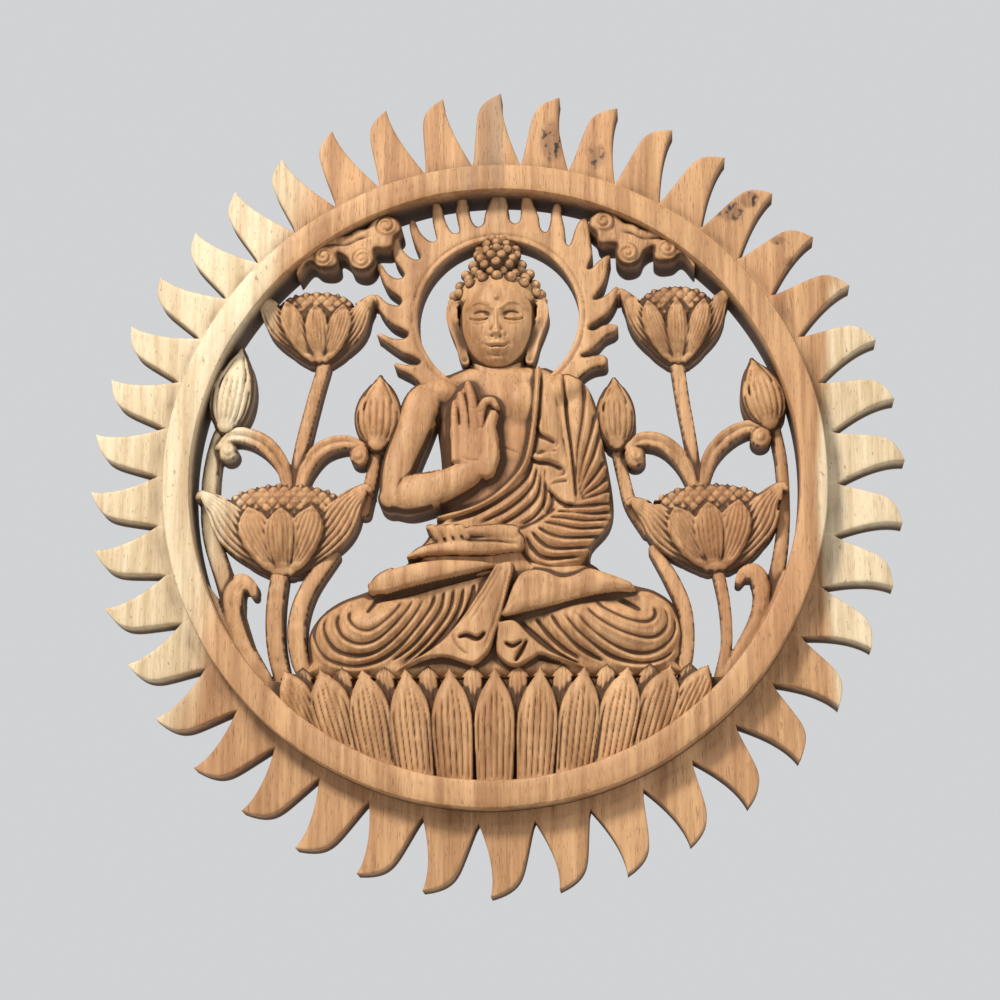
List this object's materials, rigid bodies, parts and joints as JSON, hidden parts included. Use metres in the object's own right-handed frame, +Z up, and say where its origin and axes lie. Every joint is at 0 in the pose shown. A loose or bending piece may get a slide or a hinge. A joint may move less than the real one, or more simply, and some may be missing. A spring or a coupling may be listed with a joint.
{
  "type": "carved wooden wall panel",
  "caption": "Round pierced wood relief of a seated Buddhist figure on a lotus row, with flaming halo, lotus flowers and a wreath of flame rays, to hang on a wall.",
  "frame": {"origin": "middle of the ring on the flat back", "axes": "+Y into the wall behind the panel, +Z up, +X to the right seen from the front"},
  "size_m": [0.4027, 0.0301, 0.411],
  "materials": {
    "rain_tree_wood": "oiled tan-brown heartwood with vertical grain, pale sapwood at both sides and dark stain in the recesses"
  },
  "bodies": {
    "root": {"carved_panel": "rain_tree_wood"}
  },
  "joints": []
}
